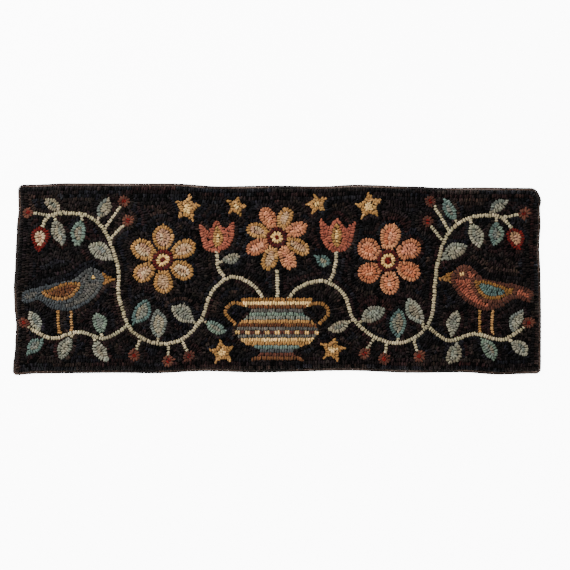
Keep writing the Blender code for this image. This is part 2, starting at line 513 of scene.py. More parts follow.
@dataclass
class Linen:
    """The linen's face as a grid of cells, which says what is drawn where.

    Attributes:
        outline: The closed outline of the field to be hooked.
        cell: The size of a cell.
        margin: How far the grid reaches past the outline.
    """

    outline: Points
    cell: float = 1.0
    margin: float = 8.0
    owner: np.ndarray = field(init=False)
    low: np.ndarray = field(init=False)
    centres: list[np.ndarray] = field(init=False)

    OUTSIDE = -1
    GROUND = 0

    def __post_init__(self) -> None:
        """Lays the grid over the outline and marks the ground."""
        self.low = self.outline.min(0) - self.margin
        spans = np.ceil((self.outline.max(0) + self.margin - self.low) / self.cell).astype(int)
        self.owner = np.full((spans[1], spans[0]), self.OUTSIDE)
        x = self.low[0] + (np.arange(spans[0]) + 0.5) * self.cell
        y = self.low[1] + (np.arange(spans[1]) + 0.5) * self.cell
        self.centres = np.meshgrid(x, y)
        self.owner[self.inside(self.outline)] = self.GROUND

    def window(self, points: Points, spare: float) -> tuple[slice, slice]:
        """Gives the part of the grid round some points."""
        first = np.floor((points.min(0) - spare - self.low) / self.cell).astype(int).clip(0)
        last = np.ceil((points.max(0) + spare - self.low) / self.cell).astype(int)
        return slice(first[1], last[1]), slice(first[0], last[0])

    def inside(self, outline: Points) -> np.ndarray:
        """Says which cells lie inside a closed outline."""
        held = np.zeros(self.owner.shape, bool)
        part = self.window(outline, 1)
        x, y = (grid[part] for grid in self.centres)
        crossed = np.zeros(x.shape, bool)
        for (x0, y0), (x1, y1) in zip(outline, np.roll(outline, -1, 0), strict=True):
            if y0 != y1:
                spans = (y0 <= y) != (y1 <= y)
                crossed ^= spans & (x < x0 + (y - y0) / (y1 - y0) * (x1 - x0))
        held[part] = crossed
        return held

    def near_line(self, line: Points, reach: float) -> np.ndarray:
        """Says which cells lie within reach of a line."""
        held = np.zeros(self.owner.shape, bool)
        part = self.window(line, reach + 1)
        x, y = (grid[part] for grid in self.centres)
        nearest = np.full(x.shape, np.inf)
        for start, end in zip(line, line[1:], strict=False):
            way = end - start
            share = ((x - start[0]) * way[0] + (y - start[1]) * way[1]) / max(way @ way, 1e-9)
            share = share.clip(0, 1)
            gap = np.hypot(x - start[0] - share * way[0], y - start[1] - share * way[1])
            nearest = np.minimum(nearest, gap)
        held[part] = nearest <= reach
        return held

    def draw(self, motif: Motif, number: int, strip: float) -> None:
        """Gives the cells under a motif to it, where they lie on the field."""
        if motif.run is RowRun.LINE:
            held = self.near_line(motif.outline, strip * motif.width / 2)
        else:
            held = self.inside(motif.outline)
        self.owner[held & (self.owner != self.OUTSIDE)] = number


def depth_inside(mask: np.ndarray, reach: int) -> np.ndarray:
    """Measures how deep each cell lies inside a shape.

    Args:
        mask: The cells of the shape.
        reach: The greatest depth that is told apart, in cells.

    Returns:
        The distance from each cell to the shape's outline, in cells.
    """
    depth = np.where(mask, float(reach), 0.0)
    depth[0] = depth[-1] = 0
    for row in range(1, len(depth)):
        depth[row] = np.minimum(depth[row], depth[row - 1] + 1)
    for row in range(len(depth) - 2, -1, -1):
        depth[row] = np.minimum(depth[row], depth[row + 1] + 1)
    square = depth**2
    best = square.copy()
    for shift in range(1, min(reach, mask.shape[1] - 1)):
        best[:, shift:] = np.minimum(best[:, shift:], square[:, :-shift] + shift * shift)
        best[:, :-shift] = np.minimum(best[:, :-shift], square[:, shift:] + shift * shift)
    return np.sqrt(best)


def softened(grid: np.ndarray, times: int) -> np.ndarray:
    """Averages each cell with its neighbours, a number of times."""
    for _ in range(times):
        for axis in (0, 1):
            grid = 0.5 * grid + 0.25 * (np.roll(grid, 1, axis) + np.roll(grid, -1, axis))
    return grid


class DepthMap:
    """How deep each place lies inside a shape, and which way it gets deeper."""

    SPARE = 4

    def __init__(self, linen: Linen, mask: np.ndarray, deepest: float) -> None:
        """Measures the depths in the part of the linen round the shape.

        Args:
            linen: The linen.
            mask: The cells of the shape.
            deepest: The greatest depth that is told apart, in millimetres.
        """
        rows, columns = np.nonzero(mask)
        self.first = max(rows.min() - self.SPARE, 0), max(columns.min() - self.SPARE, 0)
        part = mask[self.first[0] : rows.max() + self.SPARE, self.first[1] : columns.max() + self.SPARE]
        self.linen = linen
        cells = depth_inside(part, int(deepest / linen.cell))
        self.most = (cells.max() - 0.5) * linen.cell
        cells = softened(cells, 2)
        self.mask = part
        self.depth = (cells - 0.5) * linen.cell
        self.slope = np.gradient(self.depth, linen.cell)

    def at(self, x: float, y: float) -> tuple[float, float, float]:
        """Gives the depth at a place, and how it grows across and up."""
        row = int((y - self.linen.low[1]) / self.linen.cell) - self.first[0]
        column = int((x - self.linen.low[0]) / self.linen.cell) - self.first[1]
        tall, wide = self.depth.shape
        row, column = min(max(row, 0), tall - 1), min(max(column, 0), wide - 1)
        return self.depth[row, column], self.slope[1][row, column], self.slope[0][row, column]

    def spots(self, least: float, most: float = math.inf) -> np.ndarray:
        """Gives the places in the shape between two depths, one row each."""
        held = self.mask & (self.depth > least) & (self.depth < most)
        cells = np.argwhere(held)[:, ::-1] + np.array(self.first[::-1]) + 0.5
        return cells * self.linen.cell + self.linen.low


@dataclass(frozen=True)
class Loop:
    """One loop of the pile.

    Attributes:
        motif: The number of the motif that it belongs to.
        x: Its place across the linen.
        y: Its place up the linen.
        heading: The way that its row runs.
        width: Its width as a share of a strip.
        basket: The basket that its strip came from.
        colour: Its strip's colour.
    """

    motif: int
    x: float
    y: float
    heading: float
    width: float
    basket: Basket = Basket.BLACK
    colour: Colour = (0.0, 0.0, 0.0)


@dataclass(frozen=True)
class Course:
    """One depth inside a shape, along which rows run.

    Attributes:
        motif: The shape's number on the linen.
        depths: The depths inside the shape.
        level: The depth that the rows keep to, in millimetres.
        width: The width of the rows, as a share of a strip.
    """

    motif: int
    depths: DepthMap
    level: float
    width: float = 1.0


@dataclass
class Hooking:
    """Works out where each loop of the pile stands, row by row.

    Attributes:
        linen: The linen with its drawing.
        strip: The width of the wool strips, and so of a row.
        pitch: The distance from loop to loop along a row.
        cover_cell: The cell size of the grid that says what is already hooked.
        crowding: The share of a loop that may lie where others stand already.
        unsteady: How far a loop strays from its place, in millimetres.
        seed: The seed for the choice of strips.
    """

    linen: Linen
    strip: float = 6.35
    pitch: float = 4.3
    cover_cell: float = 0.7
    crowding: float = 0.28
    unsteady: float = 0.34
    seed: int = 7
    loops: list[Loop] = field(default_factory=list)

    LONGEST_ROW = 2000
    OWN_SHARE = 0.62
    # A row of at least so many loops, whose ends lie within so many pitches, is a ring.
    LEAST_RING = 4
    RING_GAP = 1.9
    STRIP_LOOPS = (7, 24)
    EDGE_ROWS = 2
    # Below this slope of the depths a row has reached the middle of its shape.
    FLAT = 0.25
    MOST_DRIFT = 2.0
    # The least half-width of a hole that is filled, in millimetres, in each round of filling, and the
    # widths of the loops that are tried there.
    HOLE_SIZES = (1.2, 0.95, 0.7)
    SPARE_WIDTHS = (1.0, 0.8, 0.62, 0.46, 0.34)
    # The least and the greatest width of a row along the middle of a shape.
    MIDDLE_WIDTHS = (0.55, 1.15)

    def __post_init__(self) -> None:
        """Makes the empty cover grid and the footprint of one loop."""
        spans = np.array(self.linen.owner.shape) * self.linen.cell / self.cover_cell
        shape = tuple(np.ceil(spans).astype(int) + 2)
        self.covered = np.zeros(shape, bool)
        self.lie = np.zeros((2, *shape))
        self.random = np.random.default_rng(self.seed)
        along = np.linspace(-0.36, 0.36, 5) * self.pitch
        across = np.linspace(-0.43, 0.43, 11) * self.strip
        grid_along, grid_across = np.meshgrid(along, across)
        self.foot = np.stack([grid_along.ravel(), grid_across.ravel()])

    def footprint(self, x: float, y: float, heading: float, width: float) -> tuple[np.ndarray, ...]:
        """Gives the cells of the cover grid, and then of the linen, under one loop."""
        cosine, sine = math.cos(heading), math.sin(heading)
        off_x = self.foot[0] * cosine - self.foot[1] * width * sine + x - self.linen.low[0]
        off_y = self.foot[0] * sine + self.foot[1] * width * cosine + y - self.linen.low[1]
        cover = (off_y / self.cover_cell).astype(int), (off_x / self.cover_cell).astype(int)
        cloth = (off_y / self.linen.cell).astype(int), (off_x / self.linen.cell).astype(int)
        return cover, cloth

    def hook(self, loop: Loop, own: float) -> bool:
        """Pulls up one loop if there is room for it.

        Args:
            loop: The loop.
            own: The least share of it that has to lie on its own motif.

        Returns:
            Whether the loop was hooked.
        """
        cover, cloth = self.footprint(loop.x, loop.y, loop.heading, loop.width)
        if self.covered[cover].mean() > self.crowding:
            return False
        if (self.linen.owner[cloth] == loop.motif).mean() < own:
            return False
        self.covered[cover] = True
        self.lie[0][cover] = math.cos(2 * loop.heading)
        self.lie[1][cover] = math.sin(2 * loop.heading)
        return True

    def keep(self, row: list[Loop], dyes: tuple[Dye, ...]) -> None:
        """Cuts a hooked row into strips, each of one colour, and keeps its loops.

        Args:
            row: The loops in order.
            dyes: The wools to take strips from. Two wools change at every other loop.
        """
        left = [0] * len(dyes)
        strips: list[Colour] = [(0.0, 0.0, 0.0)] * len(dyes)
        for number, loop in enumerate(row):
            turn = number // 2 % len(dyes)
            if left[turn] == 0:
                left[turn] = int(self.random.integers(*self.STRIP_LOOPS))
                choices = dyes[turn].strips
                strips[turn] = choices[int(self.random.integers(len(choices)))]
            left[turn] -= 1
            self.finish(replace(loop, basket=dyes[turn].basket, colour=strips[turn]))

    def finish(self, loop: Loop) -> None:
        """Keeps a loop, which strays a little from its place."""
        slip, stray = self.random.normal(0, self.unsteady, 2)
        cosine, sine = math.cos(loop.heading), math.sin(loop.heading)
        x = loop.x + slip * cosine - stray * sine
        y = loop.y + slip * sine + stray * cosine
        self.loops.append(replace(loop, x=x, y=y))

    def walk(self, course: Course, start: Points, way: int) -> Iterator[Loop]:
        """Hooks loops along a line of equal depth until there is no more room.

        Args:
            course: The depth that the row keeps to.
            start: Where the row starts.
            way: 1 or -1, the way round.

        Yields:
            Each loop.
        """
        x, y = start
        for step in range(self.LONGEST_ROW):
            depth, across, up = course.depths.at(x, y)
            steep = math.hypot(across, up)
            if steep < self.FLAT:
                return
            if step or way < 0:
                x -= way * self.pitch * up / steep
                y += way * self.pitch * across / steep
                depth, across, up = course.depths.at(x, y)
                steep = max(math.hypot(across, up), self.FLAT)
            drift = min(max(course.level - depth, -self.MOST_DRIFT), self.MOST_DRIFT)
            x += drift * across / steep
            y += drift * up / steep
            loop = Loop(course.motif, x, y, math.atan2(across, -up), course.width)
            if not self.hook(loop, self.OWN_SHARE):
                return
            yield loop

    def is_covered(self, x: float, y: float) -> bool:
        """Says whether a place is hooked already."""
        row = int((y - self.linen.low[1]) / self.cover_cell)
        return bool(self.covered[row, int((x - self.linen.low[0]) / self.cover_cell)])

    def rows_at(self, course: Course) -> Iterator[list[Loop]]:
        """Hooks all the rows at one depth of a shape.

        Args:
            course: The depth.

        Yields:
            Each row, from end to end.
        """
        near = 0.55 * self.linen.cell
        for start in course.depths.spots(course.level - near, course.level + near):
            if not self.is_covered(*start):
                ahead = list(self.walk(course, start, 1))
                if ahead:
                    back = list(self.walk(course, start, -1))
                    yield self.evened(back[::-1] + ahead)

    def evened(self, row: list[Loop]) -> list[Loop]:
        """Spreads the loops of a row that runs back to its start, so that no gap is left there."""
        first, last = row[0], row[-1]
        gap = math.dist((first.x, first.y), (last.x, last.y))
        if len(row) < self.LEAST_RING or gap > self.RING_GAP * self.pitch:
            return row
        ring = [*row, first]
        spots = np.array([(loop.x, loop.y) for loop in ring])
        headings = np.unwrap([loop.heading for loop in ring])
        run = np.concatenate([[0], np.cumsum(np.hypot(*np.diff(spots, axis=0).T))])
        places = np.linspace(0, run[-1], round(run[-1] / self.pitch), endpoint=False)
        spread = (np.interp(places, run, values) for values in (*spots.T, headings))
        return [replace(first, x=x, y=y, heading=way) for x, y, way in zip(*spread, strict=True)]

    def echo_motif(self, number: int, mask: np.ndarray, rows: tuple) -> None:
        """Fills a motif with rows that echo its outline, drawn together or apart so that they fit.

        Args:
            number: The motif's number on the linen.
            mask: The cells to fill.
            rows: The wools of each row.
        """
        depths = DepthMap(self.linen, mask, 60)
        abreast = max(round(2 * depths.most / self.strip), 1)
        spacing = 2 * depths.most / abreast
        for count in range(abreast // 2):
            course = Course(number, depths, (count + 0.5) * spacing, spacing / self.strip)
            for row in self.rows_at(course):
                self.keep(row, self.wools(rows, count))
        if abreast % 2:
            row = self.middle_row(number, depths.spots(abreast // 2 * spacing))
            self.keep(row, self.wools(rows, abreast // 2))

    def middle_row(self, number: int, spots: np.ndarray) -> list[Loop]:
        """Hooks one row along a narrow band that is left in the middle of a shape.

        Args:
            number: The motif's number on the linen.
            spots: The places in the band, one row each.

        Returns:
            The row.
        """
        if len(spots) < 3:
            return []
        centre = spots.mean(0)
        along = np.linalg.eigh(np.cov((spots - centre).T))[1][:, 1]
        across = np.array((-along[1], along[0]))
        run, stray = (spots - centre) @ along, (spots - centre) @ across
        count = max(round(np.ptp(run) / self.pitch), 1)
        edges = np.linspace(run.min(), run.max() + 0.01, count + 1)
        row = []
        for low, high in zip(edges, edges[1:], strict=False):
            beside = stray[(run >= low) & (run < high)]
            if len(beside):
                x, y = centre + (low + high) / 2 * along + beside.mean() * across
                width = (np.ptp(beside) + self.linen.cell) / self.strip
                width = min(max(width, self.MIDDLE_WIDTHS[0]), self.MIDDLE_WIDTHS[1])
                loop = Loop(number, x, y, math.atan2(along[1], along[0]), width)
                if self.hook(loop, 0.5):
                    row.append(loop)
        return row

    def echo_ground(self, mask: np.ndarray) -> None:
        """Fills the ground with rows that echo the motifs and the edge."""
        depths = DepthMap(self.linen, mask, 90)
        for count in range(int(depths.most / self.strip + 0.75)):
            for row in self.rows_at(Course(Linen.GROUND, depths, (count + 0.5) * self.strip)):
                self.keep(row, (self.ground_dye(),))

    @staticmethod
    def wools(rows: tuple, count: int) -> tuple[Dye, ...]:
        """Gives the wools of a motif's row."""
        return rows[min(count, len(rows) - 1)]

    def ground_dye(self) -> Dye:
        """Draws one of the ground's pots by its share."""
        return GROUND_DYES[int(self.random.choice(len(GROUND_DYES), p=GROUND_SHARES))]

    def line_row(self, number: int, motif: Motif) -> None:
        """Hooks a single row along a motif's line."""
        steps = np.hypot(*np.diff(motif.outline, axis=0).T)
        run = np.concatenate([[0], np.cumsum(steps)])
        count = max(int(run[-1] / self.pitch), 2)
        places = (np.arange(count) + 0.5) * run[-1] / count
        x, y = (np.interp(places, run, motif.outline[:, axis]) for axis in (0, 1))
        headings = np.arctan2(np.gradient(y), np.gradient(x))
        row = []
        for place in zip(x.tolist(), y.tolist(), headings.tolist(), strict=True):
            loop = Loop(number, *place, motif.width)
            if self.hook(loop, 0.6):
                row.append(loop)
        self.keep(row, motif.rows[0])

    def level_rows(self, number: int, motif: Motif) -> None:
        """Fills a motif with straight rows, each clipped to it."""
        low, high = motif.outline.min(0), motif.outline.max(0)
        for count in range(round((high[1] - low[1]) / self.strip)):
            y = high[1] - (count + 0.5) * self.strip
            row = []
            x = low[0]
            while x < high[0]:
                loop = Loop(number, x, y, 0.0, 1.0)
                if self.hook(loop, 0.75):
                    row.append(loop)
                    x += self.pitch
                else:
                    x += self.pitch / 6
            self.keep(row, self.wools(motif.rows, count))

    def fill_holes(self, numbers: Sequence[int]) -> None:
        """Hooks narrower loops where rows that meet have left room. Each takes its neighbour's wool.

        Args:
            numbers: The numbers of the motifs to look at. The ground is number 0.
        """
        tall, wide = self.linen.owner.shape
        rows_up, columns = (
            (np.arange(count) * self.cover_cell / self.linen.cell).astype(int).clip(0, most - 1)
            for count, most in zip(self.covered.shape, (tall, wide), strict=True)
        )
        owner = self.linen.owner[rows_up][:, columns]
        wanted = np.isin(owner, numbers)
        hooked = {number: self.finder(number) for number in numbers}
        for least in self.HOLE_SIZES:
            room = depth_inside(wanted & ~self.covered, 12) * self.cover_cell
            lie = [softened(part, 9) for part in self.lie]
            spots = np.argwhere(room > least)
            order = np.argsort(-room[spots[:, 0], spots[:, 1]], kind="stable")
            for row, column in spots[order]:
                if self.covered[row, column]:
                    continue
                number = int(owner[row, column])
                heading = 0.5 * math.atan2(lie[1][row, column], lie[0][row, column])
                x = self.linen.low[0] + (column + 0.5) * self.cover_cell
                y = self.linen.low[1] + (row + 0.5) * self.cover_cell
                nearest = hooked[number].find((x, y, 0))[1]
                for width in self.SPARE_WIDTHS:
                    loop = Loop(number, x, y, heading, width)
                    if nearest is not None and self.hook(loop, 0.55):
                        like = self.loops[nearest]
                        self.finish(replace(loop, basket=like.basket, colour=like.colour))
                        break

    def finder(self, number: int) -> KDTree:
        """Makes a tree that finds the nearest loop of a motif."""
        own = [(place, loop) for place, loop in enumerate(self.loops) if loop.motif == number]
        tree = KDTree(len(own))
        for place, loop in own:
            tree.insert((loop.x, loop.y, 0), place)
        tree.balance()
        return tree

    def hook_rug(self, motifs: list[Motif]) -> None:
        """Hooks the whole rug: lines, then motifs, then rows along the edge, then the ground.

        Args:
            motifs: The motifs, those below first.
        """
        numbered = dict(enumerate(motifs, 1))
        for number, motif in numbered.items():
            self.linen.draw(motif, number, self.strip)
        for number, motif in numbered.items():
            if motif.run is RowRun.LINE:
                self.line_row(number, motif)
        for number, motif in reversed(numbered.items()):
            mask = self.linen.owner == number
            if motif.run is RowRun.LEVEL:
                self.level_rows(number, motif)
            elif motif.run is RowRun.ECHO and mask.any():
                self.echo_motif(number, mask, motif.rows)
        self.fill_holes(list(numbered))
        LOG.info("motifs hooked: %d loops", len(self.loops))
        self.hook_ground()
        LOG.info("ground hooked: %d loops in all", len(self.loops))

    def hook_ground(self) -> None:
        """Hooks the rows that run along the edge and then the rest of the ground."""
        ground = self.linen.owner == Linen.GROUND
        from_edge = DepthMap(self.linen, self.linen.owner != Linen.OUTSIDE, 40)
        for count in range(self.EDGE_ROWS):
            for row in self.rows_at(Course(Linen.GROUND, from_edge, (count + 0.5) * self.strip)):
                for part in self.lengths(row):
                    self.keep(part, (self.ground_dye(),))
        edge_zone = np.zeros(ground.shape, bool)
        tall, wide = from_edge.depth.shape
        first = from_edge.first
        near = from_edge.depth < self.EDGE_ROWS * self.strip
        edge_zone[first[0] : first[0] + tall, first[1] : first[1] + wide] = near
        self.echo_ground(ground & ~edge_zone)
        self.fill_holes([Linen.GROUND])

    def lengths(self, row: list[Loop]) -> Iterator[list[Loop]]:
        """Cuts a long row where one strip ends and the next begins."""
        first = 0
        while first < len(row):
            last = first + int(self.random.integers(*self.STRIP_LOOPS))
            yield row[first:last]
            first = last


class NodeTree:
    """A node tree that is built a node at a time, with its links given by name."""

    def __init__(self, tree: bpy.types.NodeTree) -> None:
        """Keeps the tree that nodes are added to."""
        self.tree = tree

    def add(self, kind: str, inputs: dict | None = None, **settings: object) -> bpy.types.Node:
        """Adds a node.

        Args:
            kind: The node's type.
            inputs: For each input's name or number, a socket to link or a value to set.
            **settings: The node's own settings.

        Returns:
            The node.
        """
        node = self.tree.nodes.new(kind)
        for name, value in settings.items():
            setattr(node, name, value)
        for key, value in (inputs or {}).items():
            self.feed(node.inputs[key], value)
        return node

    def feed(self, socket: bpy.types.NodeSocket, value: object) -> None:
        """Links a socket to an input, or sets the input's value."""
        if isinstance(value, bpy.types.NodeSocket):
            self.tree.links.new(value, socket)
        else:
            socket.default_value = value

    def math(self, operation: str, *values: object) -> bpy.types.NodeSocket:
        """Adds a sum of one to three numbers and gives its result."""
        return self.add("ShaderNodeMath", dict(enumerate(values)), operation=operation).outputs[0]

    def spread(self, value: object, low: float, high: float, to_low: float, to_high: float) -> object:
        """Maps a number from one range to another, held inside it."""
        inputs = {0: value, 1: low, 2: high, 3: to_low, 4: to_high}
        return self.add("ShaderNodeMapRange", inputs, clamp=True).outputs[0]

    def mixed(self, factor: object, first: object, second: object, blend: str = "MIX") -> object:
        """Mixes two colours."""
        inputs = {0: factor, 6: first, 7: second}
        settings = {"data_type": "RGBA", "blend_type": blend}
        return self.add("ShaderNodeMix", inputs, **settings).outputs[2]


def linear(colour: Colour) -> Colour:
    """Turns a colour from 0 to 255 into the shader's own linear numbers."""
    shares = np.array(colour) / 255
    return tuple(np.where(shares <= 0.04045, shares / 12.92, ((shares + 0.055) / 1.055) ** 2.4))


class WoolNap:
    """The shader group that every wool finish uses: felted, fulled wool with fine fibres."""

    NAME = "wool_nap"

    @classmethod
    def tree(cls) -> bpy.types.NodeTree:
        """Gives the group, which is built the first time that it is asked for."""
        found = bpy.data.node_groups.get(cls.NAME)
        return found or cls.build()

    @classmethod
    def build(cls) -> bpy.types.NodeTree:
        """Builds the group. It gives a colour, a roughness and a height."""
        tree = bpy.data.node_groups.new(cls.NAME, "ShaderNodeTree")
        for name, kind in (
            ("Colour", "NodeSocketColor"),
            ("Mottle", "NodeSocketFloat"),
            ("Mottle Scale", "NodeSocketFloat"),
            ("Fibre Scale", "NodeSocketFloat"),
            ("Fleck", "NodeSocketFloat"),
        ):
            tree.interface.new_socket(name=name, in_out="INPUT", socket_type=kind)
        for name, kind in (
            ("Colour", "NodeSocketColor"),
            ("Roughness", "NodeSocketFloat"),
            ("Height", "NodeSocketFloat"),
        ):
            tree.interface.new_socket(name=name, in_out="OUTPUT", socket_type=kind)
        nodes = NodeTree(tree)
        given = nodes.add("NodeGroupInput").outputs
        place = nodes.add("ShaderNodeTexCoord").outputs["Object"]
        cloud = nodes.add(
            "ShaderNodeTexNoise", {"Vector": place, "Scale": given["Mottle Scale"], "Detail": 3.0}
        ).outputs[0]
        fibre = nodes.add(
            "ShaderNodeTexNoise",
            {"Vector": place, "Scale": given["Fibre Scale"], "Detail": 4.0, "Roughness": 0.65},
        ).outputs[0]
        swing = nodes.math("MULTIPLY", nodes.math("SUBTRACT", cloud, 0.5), given["Mottle"])
        fine = nodes.math("MULTIPLY", nodes.math("SUBTRACT", fibre, 0.5), 0.55)
        shade = nodes.math("ADD", nodes.math("ADD", swing, fine), 1.0)
        shaded = nodes.add(
            "ShaderNodeVectorMath", {0: given["Colour"], 1: shade}, operation="MULTIPLY"
        ).outputs[0]
        stray = nodes.math("MULTIPLY", nodes.spread(fibre, 0.60, 0.74, 0, 1), given["Fleck"])
        pale = nodes.add(
            "ShaderNodeVectorMath", {0: shaded, 1: (0.032, 0.029, 0.026)}, operation="ADD"
        ).outputs[0]
        out = nodes.add("NodeGroupOutput")
        nodes.feed(out.inputs["Colour"], nodes.mixed(stray, shaded, pale))
        nodes.feed(out.inputs["Roughness"], nodes.spread(fibre, 0.3, 0.7, 0.82, 1.0))
        nodes.feed(out.inputs["Height"], fibre)
        return tree


@dataclass(frozen=True)
class StripWool:
    """The finish of hooked loops: each takes its strip's colour, with painted shade that darkens it towards
    the linen.

    Attributes:
        name: The finish's name.
        pile_top: The height of the pile, in metres.
        mottle: How much the dye varies within a strip.
        fleck: How strongly stray pale fibres show.
        sheen: How much the nap lights up at its edges.
        painted_depth_shade: The share of its colour that a loop keeps down at the linen, as painted shade
            between its neighbours.
    """

    name: str
    pile_top: float
    mottle: float = 0.7
    fleck: float = 0.4
    sheen: float = 0.10
    painted_depth_shade: float = 0.30

    def material(self) -> bpy.types.Material:
        """Builds the material."""
        material, nodes, shader = new_material(self.name)
        dyed = nodes.add("ShaderNodeAttribute", attribute_name="wool").outputs["Color"]
        strip = nodes.add("ShaderNodeAttribute", attribute_name="strip").outputs["Vector"]
        nap = nodes.add(
            "ShaderNodeGroup",
            node_tree=WoolNap.tree(),
        )
        for name, value in (
            ("Colour", dyed),
            ("Mottle", self.mottle),
            ("Mottle Scale", 150.0),
            ("Fibre Scale", 2600.0),
            ("Fleck", self.fleck),
        ):
            nodes.feed(nap.inputs[name], value)
        # Painted shade: the colour darkens from near the pile's top down to the linen, standing in for the
        # shade between neighbouring loops.
        up = nodes.add(
            "ShaderNodeSeparateXYZ", {0: nodes.add("ShaderNodeTexCoord").outputs["Object"]}
        ).outputs[2]
        shade = nodes.spread(up, 0.68 * self.pile_top, 0.95 * self.pile_top, self.painted_depth_shade, 1.0)
        lit = nodes.add(
            "ShaderNodeVectorMath", {0: nap.outputs["Colour"], 1: shade}, operation="MULTIPLY"
        ).outputs[0]
        twill = nodes.add(
            "ShaderNodeTexWave",
            {"Vector": strip, "Scale": 0.42, "Distortion": 0.8, "Detail": 1.0},
            wave_type="BANDS",
            bands_direction="DIAGONAL",
        ).outputs["Fac"]
        relief = nodes.math("ADD", nap.outputs["Height"], nodes.math("MULTIPLY", twill, 0.35))
        bump = nodes.add("ShaderNodeBump", {"Height": relief, "Strength": 0.55, "Distance": 0.0006})
        nodes.feed(shader.inputs["Base Color"], lit)
        nodes.feed(shader.inputs["Roughness"], nap.outputs["Roughness"])
        nodes.feed(shader.inputs["Normal"], bump.outputs[0])
        shader.inputs["Specular IOR Level"].default_value = 0.05
        shader.inputs["Sheen Weight"].default_value = self.sheen
        shader.inputs["Sheen Roughness"].default_value = 0.5
        return material


@dataclass(frozen=True)
class VariegatedYarn:
    """The finish of the whipping yarn: its colour drifts from near-black to brown and back, with a painted
    highlight at one turn round the cord and painted shade on the rest.

    Attributes:
        name: The finish's name.
        dark: The darkest stretch of the yarn.
        brown: The middle stretch.
        taupe: The palest stretch.
        painted_highlight_turn: The turn round the cord at which the yarn is painted palest, as a highlight;
            it is painted darker away from it, as shade. Its outermost point is at 0 and its top at 0.25.
    """

    name: str
    dark: Colour = (60, 54, 52)
    brown: Colour = (102, 82, 72)
    taupe: Colour = (138, 120, 110)
    painted_highlight_turn: float = 0.36

    def material(self) -> bpy.types.Material:
        """Builds the material."""
        material, nodes, shader = new_material(self.name)
        along = nodes.add("ShaderNodeAttribute", attribute_name="wrap").outputs["Fac"]
        drift = nodes.add(
            "ShaderNodeTexNoise", {"W": along, "Scale": 0.022, "Detail": 2.5}, noise_dimensions="1D"
        ).outputs[0]
        turn = nodes.add(
            "ShaderNodeTexNoise", {"W": along, "Scale": 0.9, "Detail": 1.0}, noise_dimensions="1D"
        ).outputs[0]
        place = nodes.add("ShaderNodeTexCoord").outputs["Object"]
        spot = nodes.add("ShaderNodeSeparateXYZ", {0: place}).outputs
        by_side = nodes.math(
            "ADD", nodes.spread(spot[1], 0.12, 0.15, 0.0, 0.06), nodes.spread(spot[0], 0.43, 0.45, 0.0, 0.08)
        )
        by_side = nodes.math("ADD", by_side, nodes.spread(spot[0], -0.45, -0.43, -0.12, 0.0))
        tone = nodes.math("ADD", drift, nodes.math("MULTIPLY", nodes.math("SUBTRACT", turn, 0.5), 0.3))
        tone = nodes.math("ADD", tone, by_side)
        ramp = nodes.add("ShaderNodeValToRGB", {0: tone})
        stops = ramp.color_ramp.elements
        stops[0].position, stops[0].color = 0.40, (*linear(self.dark), 1)
        stops[1].position, stops[1].color = 0.66, (*linear(self.taupe), 1)
        middle = stops.new(0.53)
        middle.color = (*linear(self.brown), 1)
        nap = nodes.add("ShaderNodeGroup", node_tree=WoolNap.tree())
        for name, value in (
            ("Colour", ramp.outputs[0]),
            ("Mottle", 0.5),
            ("Mottle Scale", 260.0),
            ("Fibre Scale", 3000.0),
            ("Fleck", 0.6),
        ):
            nodes.feed(nap.inputs[name], value)
        bump = nodes.add(
            "ShaderNodeBump", {"Height": nap.outputs["Height"], "Strength": 0.6, "Distance": 0.0005}
        )
        # Painted light: the yarn is painted palest at the crest's turn round the cord, as a highlight, and
        # down to near black on its outer and lower slopes, as shade.
        round_cord = nodes.math("MULTIPLY", nodes.math("SUBTRACT", along, self.painted_highlight_turn), math.tau)
        shade = nodes.spread(nodes.math("COSINE", round_cord), 0.50, 0.95, 0.03, 1.0)
        lit = nodes.add(
            "ShaderNodeVectorMath", {0: nap.outputs["Colour"], 1: shade}, operation="MULTIPLY"
        ).outputs[0]
        nodes.feed(shader.inputs["Base Color"], lit)
        nodes.feed(shader.inputs["Roughness"], nap.outputs["Roughness"])
        nodes.feed(shader.inputs["Normal"], bump.outputs[0])
        shader.inputs["Specular IOR Level"].default_value = 0.05
        shader.inputs["Sheen Weight"].default_value = 0.05
        shader.inputs["Sheen Roughness"].default_value = 0.45
        return material


